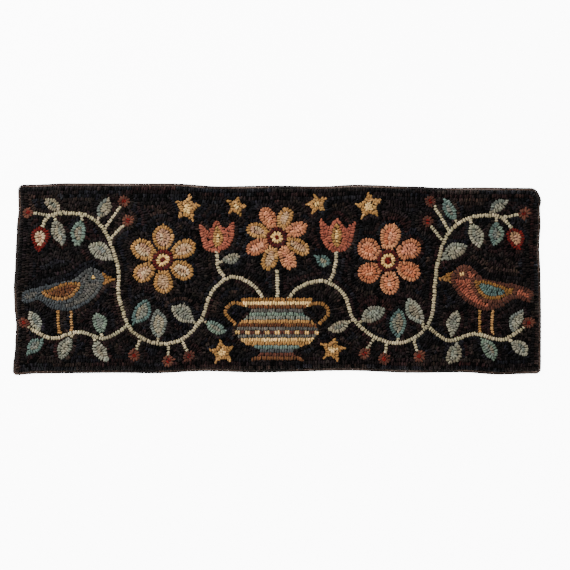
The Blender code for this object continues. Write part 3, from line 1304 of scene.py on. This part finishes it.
@dataclass(frozen=True)
class PlainLinen:
    """The finish of the foundation: an even open-looking plain weave of flax threads, with its upper face
    painted dark as the shade under the pile.

    Attributes:
        name: The finish's name.
        threads: The number of threads in a metre.
        colour: The flax's colour.
        gap: The colour between the threads.
        painted_pile_shade: The dark colour painted over the upper face, as the shade between and under the
            loops.
    """

    name: str = "foundation_linen"
    threads: float = 560.0
    colour: Colour = (158, 138, 106)
    gap: Colour = (84, 70, 52)
    painted_pile_shade: Colour = (14, 12, 12)

    def material(self) -> bpy.types.Material:
        """Builds the material."""
        material, nodes, shader = new_material(self.name)
        place = nodes.add("ShaderNodeTexCoord").outputs["Object"]
        across = nodes.add("ShaderNodeSeparateXYZ", {0: place}).outputs
        turns = math.pi * self.threads
        waves = [nodes.math("SINE", nodes.math("MULTIPLY", across[axis], turns)) for axis in (0, 1)]
        crossing = nodes.math("ABSOLUTE", nodes.math("MULTIPLY", *waves))
        slub = nodes.add(
            "ShaderNodeTexNoise", {"Vector": place, "Scale": 420.0, "Detail": 4.0}
        ).outputs[0]
        thread = nodes.spread(crossing, 0.05, 0.5, 0.0, 1.0)
        tone = nodes.math("MULTIPLY", thread, nodes.spread(slub, 0.25, 0.75, 0.6, 1.1))
        colour = nodes.mixed(tone, (*linear(self.gap), 1), (*linear(self.colour), 1))
        bump = nodes.add("ShaderNodeBump", {"Height": tone, "Strength": 0.7, "Distance": 0.0004})
        # Painted shade: every upward face takes the dark colour, standing in for the shade under the pile.
        facing = nodes.add("ShaderNodeNewGeometry").outputs["Normal"]
        upward = nodes.add("ShaderNodeSeparateXYZ", {0: facing}).outputs[2]
        painted_pile_shade = nodes.math("GREATER_THAN", upward, 0.5)
        colour = nodes.mixed(painted_pile_shade, colour, (*linear(self.painted_pile_shade), 1))
        nodes.feed(shader.inputs["Base Color"], colour)
        nodes.feed(shader.inputs["Roughness"], nodes.spread(slub, 0.3, 0.7, 0.78, 0.95))
        nodes.feed(shader.inputs["Normal"], bump.outputs[0])
        shader.inputs["Specular IOR Level"].default_value = 0.25
        return material


def new_material(name: str) -> tuple[bpy.types.Material, NodeTree, bpy.types.Node]:
    """Makes a material with a Principled shader.

    Args:
        name: The material's name.

    Returns:
        The material, its tree and the shader.
    """
    material = bpy.data.materials.new(name)
    material.use_nodes = True
    return material, NodeTree(material.node_tree), material.node_tree.nodes["Principled BSDF"]


def add_object(name: str, mesh: bpy.types.Mesh) -> bpy.types.Object:
    """Puts a mesh in the scene, at the origin."""
    thing = bpy.data.objects.new(name, mesh)
    bpy.context.scene.collection.objects.link(thing)
    return thing


def grown(source: bpy.types.Object, tree: bpy.types.NodeTree, inputs: dict, name: str) -> bpy.types.Object:
    """Runs a Geometry Nodes tree on an object and keeps the result as a plain mesh.

    Args:
        source: The object that the tree starts from, which is removed afterwards.
        tree: The Geometry Nodes tree.
        inputs: The value of each of the tree's named inputs.
        name: The name of the finished piece.

    Returns:
        The finished piece, at the origin.
    """
    modifier = source.modifiers.new("grow", "NODES")
    modifier.node_group = tree
    for item in tree.interface.items_tree:
        if item.item_type == "SOCKET" and item.in_out == "INPUT" and item.name in inputs:
            modifier[item.identifier] = inputs[item.name]
    source.update_tag()
    depsgraph = bpy.context.evaluated_depsgraph_get()
    seen = source.evaluated_get(depsgraph)
    mesh = bpy.data.meshes.new_from_object(seen, preserve_all_data_layers=True, depsgraph=depsgraph)
    mesh.name = name
    source.modifiers.remove(modifier)
    bpy.data.objects.remove(source)
    return add_object(name, mesh)


def top_view_map(mesh: bpy.types.Mesh) -> None:
    """Gives a flat-lying piece a map seen from above, with its underside beside it."""
    low, high = cad_bounds
    spots = np.empty(len(mesh.vertices) * 3)
    mesh.vertices.foreach_get("co", spots)
    corner = np.empty(len(mesh.loops), int)
    mesh.loops.foreach_get("vertex_index", corner)
    normals = np.empty(len(mesh.polygons) * 3)
    mesh.polygons.foreach_get("normal", normals)
    counts = np.empty(len(mesh.polygons), int)
    mesh.polygons.foreach_get("loop_total", counts)
    below = np.repeat(normals.reshape(-1, 3)[:, 2] < -0.5, counts)
    places = spots.reshape(-1, 3)[corner]
    across = (places[:, 0] - low[0]) / (high[0] - low[0])
    up = (places[:, 1] - low[1]) / (high[1] - low[1])
    upper_share = 0.79
    up = np.where(below, upper_share + 0.01 + up * (0.99 - upper_share), up * upper_share)
    layer = mesh.uv_layers.new(name="OFBake")
    layer.data.foreach_set("uv", np.stack([across, up], 1).ravel())


@dataclass
class WoolPile:
    """The pile: every loop as a closed bent strip, in one piece for each basket of wool.

    Attributes:
        hooking: Where the loops stand, and their colours.
        field_object: The CAD field, whose face gives the height of the pile.
        thickness: The size of a loop along its row, as a share of the pitch.
        fullness: The size of a loop across its row, as a share of the strip.
        uneven_tone: How much lighter or darker one loop is than the next, in the motifs.
        uneven_ground: The same in the ground, whose wools are of many old cloths.
        uneven_hue: How much each of red, green and blue differs in the ground.
    """

    hooking: Hooking
    field_object: bpy.types.Object
    thickness: float = 1.04
    fullness: float = 1.15
    uneven_tone: float = 0.17
    uneven_ground: float = 0.62
    uneven_hue: float = 0.05

    # Each shape of loop is four places across the strip. Columns: the place across, how far it sits
    # along the row, how high it reaches, how thick it is. All are shares of the loop's own size.
    SHAPES = (
        (
            (-0.52, 0.0, 0.85, 0.6),
            (-0.29, 0.0, 0.99, 1.0),
            (0.29, 0.0, 0.99, 1.0),
            (0.52, 0.0, 0.85, 0.6),
        ),
        (
            (-0.52, -0.1, 0.82, 0.56),
            (-0.28, -0.04, 0.97, 0.9),
            (0.3, 0.05, 1.02, 1.1),
            (0.52, 0.1, 0.88, 0.7),
        ),
        (
            (-0.52, 0.1, 0.88, 0.7),
            (-0.3, 0.04, 1.02, 1.1),
            (0.28, -0.04, 0.96, 0.9),
            (0.5, -0.1, 0.82, 0.5),
        ),
        (
            (-0.51, 0.13, 0.85, 0.58),
            (-0.27, -0.05, 1.01, 1.0),
            (0.27, -0.05, 1.0, 1.0),
            (0.5, 0.1, 0.84, 0.6),
        ),
        (
            (-0.53, -0.13, 0.86, 0.6),
            (-0.28, 0.05, 0.98, 0.9),
            (0.29, 0.06, 1.01, 1.0),
            (0.5, -0.1, 0.86, 0.6),
        ),
    )
    # The section of a loop along its row: half its thickness, and the height.
    SECTION = (
        (-0.52, 0.0),
        (0.52, 0.0),
        (0.51, 0.66),
        (0.40, 0.88),
        (0.15, 1.0),
        (-0.15, 1.0),
        (-0.40, 0.88),
        (-0.51, 0.66),
    )

    def loop_shape(self, number: int) -> bpy.types.Object:
        """Makes one of the loop shapes as a closed mesh of unit size."""
        build = bmesh.new()
        strip_layer = build.verts.layers.float_vector.new("strip")
        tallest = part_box(FIELD_NODE)[1].z / MM
        rings = []
        for across, along, tall, thick in self.SHAPES[number]:
            ring = []
            for place, height in self.SECTION:
                vertex = build.verts.new((along * height + place * thick, across, height * tall))
                up_strip = height * tallest * math.copysign(1, place)
                vertex[strip_layer] = (across * self.hooking.strip, up_strip, 0)
                ring.append(vertex)
            rings.append(ring)
        for first, second in zip(rings, rings[1:], strict=False):
            for here in range(len(first)):
                after = (here + 1) % len(first)
                build.faces.new((first[here], first[after], second[after], second[here]))
        build.faces.new(reversed(rings[0]))
        build.faces.new(rings[-1])
        bmesh.ops.recalc_face_normals(build, faces=build.faces)
        mesh = bpy.data.meshes.new(f"loop_shape_{number}")
        build.to_mesh(mesh)
        build.free()
        mesh.shade_smooth()
        return bpy.data.objects.new(mesh.name, mesh)

    def heights(self, places: np.ndarray) -> np.ndarray:
        """Reads the height of the CAD field's face over each loop, in metres."""
        depsgraph = bpy.context.evaluated_depsgraph_get()
        face = BVHTree.FromObject(self.field_object, depsgraph)
        found = []
        for x, y in places:
            hit = face.ray_cast(Vector((x, y, 1.0)), Vector((0, 0, -1)))[0]
            found.append(hit.z if hit else 0.006)
        return np.array(found)

    def points_mesh(self, basket: Basket, loops: list[Loop]) -> bpy.types.Mesh:
        """Makes the mesh of points on which one basket's loops are grown."""
        places = np.array([(loop.x, loop.y) for loop in loops]) * MM
        heights = self.heights(places)
        pitch, strip = self.hooking.pitch * MM, self.hooking.strip * MM
        widths = np.array([loop.width for loop in loops])
        sizes = np.stack(
            [np.full(len(loops), pitch * self.thickness), widths * strip * self.fullness, heights], 1
        )
        chance = np.random.default_rng(len(loops))
        ground = any(basket is dye.basket for dye in GROUND_DYES)
        uneven = self.uneven_ground if ground else self.uneven_tone
        tones = chance.normal(1, uneven, len(loops)).clip(1 - 2 * uneven, 1 + 2.4 * uneven)
        hues = chance.normal(1, self.uneven_hue if ground else 0.02, (len(loops), 3))
        dyed = np.array([linear(loop.colour) for loop in loops]) * tones[:, None] * hues
        colours = np.column_stack([dyed, np.ones(len(loops))])
        mesh = bpy.data.meshes.new(basket.value)
        mesh.vertices.add(len(loops))
        mesh.vertices.foreach_set("co", np.column_stack([places, np.zeros(len(loops))]).ravel())
        for name, kind, key, values in (
            ("heading", "FLOAT", "value", np.array([loop.heading for loop in loops])),
            ("loop_size", "FLOAT_VECTOR", "vector", sizes.ravel()),
            ("wool", "FLOAT_COLOR", "color", colours.ravel()),
        ):
            mesh.attributes.new(name, kind, "POINT").data.foreach_set(key, values)
        return mesh

    @staticmethod
    def tree() -> bpy.types.NodeTree:
        """Builds the Geometry Nodes tree that pulls a loop up at each point."""
        tree = bpy.data.node_groups.new("hooked_loops", "GeometryNodeTree")
        tree.is_modifier = True
        for name, kind in (
            ("Points", "NodeSocketGeometry"),
            ("Loop Shapes", "NodeSocketCollection"),
            ("Shape Count", "NodeSocketInt"),
            ("Twist", "NodeSocketFloat"),
            ("Lean", "NodeSocketFloat"),
            ("Uneven Size", "NodeSocketFloat"),
            ("Wool", "NodeSocketMaterial"),
            ("Seed", "NodeSocketInt"),
        ):
            tree.interface.new_socket(name=name, in_out="INPUT", socket_type=kind)
        tree.interface.new_socket(name="Pile", in_out="OUTPUT", socket_type="NodeSocketGeometry")
        nodes = NodeTree(tree)
        given = nodes.add("NodeGroupInput").outputs

        def chance(low: object, high: object, shift: int) -> bpy.types.NodeSocket:
            seed = nodes.math("ADD", given["Seed"], float(shift))
            inputs = {2: low, 3: high, "Seed": seed}
            return nodes.add("FunctionNodeRandomValue", inputs, data_type="FLOAT").outputs[1]

        def either_way(amount: object, shift: int) -> bpy.types.NodeSocket:
            return chance(nodes.math("MULTIPLY", amount, -1.0), amount, shift)

        heading = nodes.add("GeometryNodeInputNamedAttribute", {"Name": "heading"}, data_type="FLOAT")
        size = nodes.add(
            "GeometryNodeInputNamedAttribute", {"Name": "loop_size"}, data_type="FLOAT_VECTOR"
        )
        turned = nodes.math("ADD", heading.outputs[0], either_way(given["Twist"], 1))
        euler = nodes.add(
            "ShaderNodeCombineXYZ",
            {0: either_way(given["Lean"], 2), 1: either_way(given["Lean"], 3), 2: turned},
        ).outputs[0]
        rotation = nodes.add("FunctionNodeEulerToRotation", {0: euler}).outputs[0]
        uneven = nodes.add(
            "ShaderNodeCombineXYZ",
            {
                number: nodes.math("ADD", either_way(given["Uneven Size"], 4 + number), 1.0)
                for number in range(3)
            },
        ).outputs[0]
        scale = nodes.add(
            "ShaderNodeVectorMath", {0: size.outputs[0], 1: uneven}, operation="MULTIPLY"
        ).outputs[0]
        shapes = nodes.add(
            "GeometryNodeCollectionInfo",
            {"Collection": given["Loop Shapes"], "Separate Children": True, "Reset Children": True},
        )
        last = nodes.math("SUBTRACT", given["Shape Count"], 0.01)
        pick = nodes.math("FLOOR", chance(0.0, last, 8))
        grown_loops = nodes.add(
            "GeometryNodeInstanceOnPoints",
            {
                "Points": given["Points"],
                "Instance": shapes.outputs[0],
                "Pick Instance": True,
                "Instance Index": pick,
                "Rotation": rotation,
                "Scale": scale,
            },
        )
        real = nodes.add("GeometryNodeRealizeInstances", {0: grown_loops.outputs[0]})
        dressed = nodes.add(
            "GeometryNodeSetMaterial", {"Geometry": real.outputs[0], "Material": given["Wool"]}
        )
        out = nodes.add("NodeGroupOutput")
        nodes.feed(out.inputs[0], dressed.outputs[0])
        return tree

    def build(self) -> list[bpy.types.Object]:
        """Builds and dresses the pile.

        Returns:
            One piece for each basket of wool.
        """
        shapes = bpy.data.collections.new("loop_shapes")
        bpy.context.scene.collection.children.link(shapes)
        for number in range(len(self.SHAPES)):
            shapes.objects.link(self.loop_shape(number))
        tree = self.tree()
        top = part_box(FIELD_NODE)[1].z
        pieces = []
        for number, basket in enumerate(Basket):
            loops = [loop for loop in self.hooking.loops if loop.basket is basket]
            dark = any(basket is dye.basket for dye in GROUND_DYES)
            # The ground's loops are painted with deeper shade down between them.
            nap = {"fleck": 0.25, "sheen": 0.03, "painted_depth_shade": 0.04} if dark else {}
            finish = StripWool(f"{basket.value}_wool", top, **nap)
            source = add_object(f"{basket.value}_points", self.points_mesh(basket, loops))
            inputs = {
                "Loop Shapes": shapes,
                "Shape Count": len(self.SHAPES),
                "Twist": math.radians(14),
                "Lean": math.radians(4.5),
                "Uneven Size": 0.045,
                "Wool": finish.material(),
                "Seed": 40 + 10 * number,
            }
            piece = grown(source, tree, inputs, basket.value)
            top_view_map(piece.data)
            LOG.info("%s: %d loops, %d faces", piece.name, len(loops), len(piece.data.polygons))
            pieces.append(piece)
        for shape in list(shapes.objects):
            bpy.data.objects.remove(shape)
        bpy.data.collections.remove(shapes)
        return pieces


@dataclass
class Foundation:
    """The linen that the loops pass through, lying flat inside the whipped edge.

    Attributes:
        outline: Its outline in millimetres.
        underside: The height of its lower face, in metres.
        thickness: Its thickness, in metres.
    """

    outline: Points
    underside: float = 0.0007
    thickness: float = 0.0008

    def build(self) -> bpy.types.Object:
        """Builds and dresses the linen."""
        build = bmesh.new()
        rings = [
            [build.verts.new((x * MM, y * MM, height)) for x, y in self.outline]
            for height in (self.underside, self.underside + self.thickness)
        ]
        for here in range(len(self.outline)):
            after = (here + 1) % len(self.outline)
            build.faces.new((rings[0][here], rings[0][after], rings[1][after], rings[1][here]))
        caps = [build.faces.new(reversed(rings[0])), build.faces.new(rings[1])]
        bmesh.ops.triangulate(build, faces=caps)
        bmesh.ops.recalc_face_normals(build, faces=build.faces)
        mesh = bpy.data.meshes.new("linen_foundation")
        build.to_mesh(mesh)
        build.free()
        mesh.materials.append(PlainLinen().material())
        top_view_map(mesh)
        piece = add_object("linen_foundation", mesh)
        LOG.info("%s: %d faces", piece.name, len(mesh.polygons))
        return piece


@dataclass
class WhippedEdge:
    """The cord along the rug's edge, wrapped over and over with yarn.

    Attributes:
        middle: The line along the middle of the cord, in millimetres.
        width: The width over the yarn, in metres.
        height: The height over the yarn, in metres.
        yarn: The yarn's diameter, in metres.
        pitch: The distance from wrap to wrap, in metres.
        steps: The points on each wrap.
    """

    middle: Points
    width: float
    height: float
    yarn: float = 0.0023
    pitch: float = 0.0024
    steps: int = 10

    def tree(self) -> bpy.types.NodeTree:
        """Builds the Geometry Nodes tree that winds the yarn round the cord."""
        tree = bpy.data.node_groups.new("whipping", "GeometryNodeTree")
        tree.is_modifier = True
        for name, kind in (
            ("Line", "NodeSocketGeometry"),
            ("Wraps", "NodeSocketInt"),
            ("Steps", "NodeSocketInt"),
            ("Width", "NodeSocketFloat"),
            ("Height", "NodeSocketFloat"),
            ("Yarn", "NodeSocketFloat"),
            ("Uneven", "NodeSocketFloat"),
            ("Wool", "NodeSocketMaterial"),
        ):
            tree.interface.new_socket(name=name, in_out="INPUT", socket_type=kind)
        tree.interface.new_socket(name="Edge", in_out="OUTPUT", socket_type="NodeSocketGeometry")
        nodes = NodeTree(tree)
        given = nodes.add("NodeGroupInput").outputs
        curve = nodes.add("GeometryNodeMeshToCurve", {0: given["Line"]}).outputs[0]
        count = nodes.math("MULTIPLY", given["Wraps"], given["Steps"])
        fine = nodes.add("GeometryNodeResampleCurve", {"Curve": curve, "Count": count}).outputs[0]
        turn = nodes.math("DIVIDE", nodes.add("GeometryNodeInputIndex").outputs[0], given["Steps"])
        angle = nodes.math("MULTIPLY", turn, math.tau)
        tangent = nodes.add(
            "ShaderNodeSeparateXYZ", {0: nodes.add("GeometryNodeInputTangent").outputs[0]}
        ).outputs
        place = nodes.add("GeometryNodeInputPosition").outputs[0]
        wander = nodes.add("ShaderNodeTexNoise", {"Vector": place, "Scale": 130.0, "Detail": 2.0}).outputs[0]
        swell = nodes.math("MULTIPLY", nodes.math("SUBTRACT", wander, 0.5), given["Uneven"])
        wide = nodes.math("MULTIPLY", nodes.math("SUBTRACT", given["Width"], given["Yarn"]), 0.5)
        tall = nodes.math("MULTIPLY", nodes.math("SUBTRACT", given["Height"], given["Yarn"]), 0.5)
        grow = nodes.math("ADD", 1.0, swell)
        out_by = nodes.math("MULTIPLY", nodes.math("MULTIPLY", wide, grow), nodes.math("COSINE", angle))
        up_by = nodes.math("MULTIPLY", tall, nodes.math("SINE", angle))
        lift = nodes.math("MULTIPLY", given["Height"], 0.5)
        offset = nodes.add(
            "ShaderNodeCombineXYZ",
            {
                0: nodes.math("MULTIPLY", tangent[1], out_by),
                1: nodes.math("MULTIPLY", nodes.math("MULTIPLY", tangent[0], -1.0), out_by),
                2: nodes.math("ADD", up_by, lift),
            },
        ).outputs[0]
        marked = nodes.add(
            "GeometryNodeStoreNamedAttribute",
            {"Geometry": fine, "Name": "wrap", "Value": turn},
            data_type="FLOAT",
            domain="POINT",
        ).outputs[0]
        helix = nodes.add("GeometryNodeSetPosition", {"Geometry": marked, "Offset": offset}).outputs[0]
        round_yarn = nodes.add(
            "GeometryNodeCurvePrimitiveCircle",
            {"Resolution": 8, "Radius": nodes.math("MULTIPLY", given["Yarn"], 0.5)},
        ).outputs[0]
        yarn = nodes.add(
            "GeometryNodeCurveToMesh", {"Curve": helix, "Profile Curve": round_yarn}
        ).outputs[0]
        coarse = nodes.add("GeometryNodeResampleCurve", {"Curve": curve, "Count": given["Wraps"]}).outputs[0]
        up = nodes.add("ShaderNodeCombineXYZ", {2: lift}).outputs[0]
        raised = nodes.add("GeometryNodeSetPosition", {"Geometry": coarse, "Offset": up}).outputs[0]
        cord_round = nodes.add(
            "GeometryNodeCurvePrimitiveCircle", {"Resolution": 8, "Radius": wide}
        ).outputs[0]
        cord = nodes.add(
            "GeometryNodeCurveToMesh", {"Curve": raised, "Profile Curve": cord_round}
        ).outputs[0]
        joined = nodes.add("GeometryNodeJoinGeometry")
        for part in (cord, yarn):
            tree.links.new(part, joined.inputs[0])
        smooth = nodes.add("GeometryNodeSetShadeSmooth", {"Geometry": joined.outputs[0]}).outputs[0]
        real = nodes.add("GeometryNodeRealizeInstances", {0: smooth}).outputs[0]
        dressed = nodes.add("GeometryNodeSetMaterial", {"Geometry": real, "Material": given["Wool"]})
        out = nodes.add("NodeGroupOutput")
        nodes.feed(out.inputs[0], dressed.outputs[0])
        return tree

    def build(self) -> bpy.types.Object:
        """Builds and dresses the whipped edge."""
        points = self.middle * MM
        count = len(points)
        line = bpy.data.meshes.new("edge_line")
        line.from_pydata(
            [(x, y, 0) for x, y in points], [(here, (here + 1) % count) for here in range(count)], []
        )
        length = np.hypot(*(points - np.roll(points, 1, 0)).T).sum()
        inputs = {
            "Wraps": int(length / self.pitch),
            "Steps": self.steps,
            "Width": self.width,
            "Height": self.height,
            "Yarn": self.yarn,
            "Uneven": 0.5,
            "Wool": VariegatedYarn("whipping_wool").material(),
        }
        piece = grown(add_object("edge_line", line), self.tree(), inputs, "whipping")
        top_view_map(piece.data)
        LOG.info("%s: %d wraps, %d faces", piece.name, inputs["Wraps"], len(piece.data.polygons))
        return piece


@dataclass(frozen=True)
class Studio:
    """The pale floor, the soft lights and the camera straight above.

    Attributes:
        view_width: The width of what the camera sees at the pile's face, in metres.
        aim: The point below the camera, in metres.
        height: The camera's height, in metres.
        sensor: The width of the camera's sensor, in millimetres.
        floor_glow: How much the floor shines by itself, which keeps the backdrop white.
    """

    view_width: float = 0.9885
    aim: tuple[float, float] = (0.0138, -0.0099)
    height: float = 3.0
    sensor: float = 36.0
    floor_glow: float = 10.0

    def floor(self) -> bpy.types.Object:
        """Lays the pale floor."""
        size, drop = 4.0, -0.0002
        mesh = bpy.data.meshes.new("floor")
        corners = [(x * size, y * size, drop) for x, y in ((-1, -1), (1, -1), (1, 1), (-1, 1))]
        mesh.from_pydata(corners, [], [(0, 1, 2, 3)])
        material, nodes, shader = new_material("pale_floor")
        place = nodes.add("ShaderNodeTexCoord").outputs["Object"]
        cloud = nodes.add("ShaderNodeTexNoise", {"Vector": place, "Scale": 3.0, "Detail": 2.0}).outputs[0]
        tone = nodes.mixed(cloud, (0.86, 0.86, 0.86, 1), (0.89, 0.89, 0.89, 1))
        nodes.feed(shader.inputs["Base Color"], tone)
        shader.inputs["Roughness"].default_value = 0.9
        shader.inputs["Specular IOR Level"].default_value = 0.1
        shader.inputs["Emission Color"].default_value = (1, 1, 1, 1)
        shader.inputs["Emission Strength"].default_value = self.floor_glow
        mesh.materials.append(material)
        floor = add_object("floor", mesh)
        floor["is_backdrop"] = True
        return floor

    def camera(self) -> None:
        """Hangs the camera straight above, as in the photograph."""
        data = bpy.data.cameras.new("camera")
        data.sensor_width = self.sensor
        pile_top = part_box(FIELD_NODE)[1].z
        data.lens = self.sensor * (self.height - pile_top) / self.view_width
        data.clip_end = 20
        camera = bpy.data.objects.new("camera", data)
        camera.location = (*self.aim, self.height)
        bpy.context.scene.collection.objects.link(camera)
        bpy.context.scene.camera = camera

    def lights(self) -> None:
        """Hangs a large soft key light, a weaker one across from it, and lights the room evenly."""
        for name, place, size, power in (
            ("key", (-1.5, 1.7, 1.5), 0.9, 110.0),
            ("fill", (1.6, -1.2, 2.4), 2.2, 22.0),
        ):
            data = bpy.data.lights.new(name, "AREA")
            data.size = size
            data.energy = power
            light = bpy.data.objects.new(name, data)
            light.location = place
            light.rotation_euler = Vector(place).to_track_quat("Z", "Y").to_euler()
            bpy.context.scene.collection.objects.link(light)
        world = bpy.data.worlds.new("room")
        world.use_nodes = True
        background = world.node_tree.nodes["Background"]
        background.inputs[0].default_value = (1, 1, 1, 1)
        background.inputs[1].default_value = 0.4
        bpy.context.scene.world = world


def field_outline() -> Points:
    """Reads the hooked field's outline from the frame.

    Returns:
        The outline at the underside, in millimetres, anticlockwise.
    """
    spots = np.array([vertex.co for vertex in frame["nodes"][FIELD_NODE].data.vertices])
    lowest = spots[spots[:, 2] < spots[:, 2].min() + 0.1 * MM][:, :2] / MM
    lowest = np.unique(lowest.round(3), axis=0)
    return resampled(lowest[np.argsort(np.arctan2(lowest[:, 1], lowest[:, 0]))], 1.5)


def resampled(outline: Points, step: float) -> Points:
    """Reads a closed outline at even steps."""
    closed = np.vstack([outline, outline[:1]])
    run = np.concatenate([[0], np.cumsum(np.hypot(*np.diff(closed, axis=0).T))])
    places = np.linspace(0, run[-1], round(run[-1] / step), endpoint=False)
    return np.stack([np.interp(places, run, closed[:, axis]) for axis in (0, 1)], 1)


def pushed_out(outline: Points, reach: float) -> Points:
    """Moves an anticlockwise outline outwards."""
    way = np.roll(outline, -2, 0) - np.roll(outline, 2, 0)
    way /= np.hypot(*way.T)[:, None]
    return outline + reach * np.stack([way[:, 1], -way[:, 0]], 1)


def main() -> None:
    """Builds the rug and the studio, hides the CAD field and edge that the pile, linen and whipping stand in
    for, and hangs every piece on the rug's body.
    """
    logging.basicConfig(level=logging.INFO, format="%(name)s: %(message)s")
    studio = Studio()
    studio.camera()
    studio.lights()
    studio.floor()
    outline = field_outline()
    edge_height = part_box(EDGE_NODE)[1].z
    edge_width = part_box(EDGE_NODE)[1].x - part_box(FIELD_NODE)[1].x - SEAM_GAP * MM
    hooking = Hooking(Linen(pushed_out(outline, -ROW_INSET)[::4]))
    hooking.hook_rug(Pattern().motifs())
    pile = WoolPile(hooking, frame["nodes"][FIELD_NODE]).build()
    middle = pushed_out(outline, SEAM_GAP + edge_width / MM / 2)
    linen = Foundation(middle).build()
    whipping = WhippedEdge(
        pushed_out(middle, -PRESSED_IN / 2), edge_width + PRESSED_IN * MM, edge_height
    ).build()
    for piece in (*pile, linen):
        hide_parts(FIELD_NODE)
        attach(piece, BODY)
    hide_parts(EDGE_NODE)
    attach(whipping, BODY)
    boxes = [[list(corner) for corner in box] for box in (cad_bounds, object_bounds())]


if __name__ == "__main__":
    main()
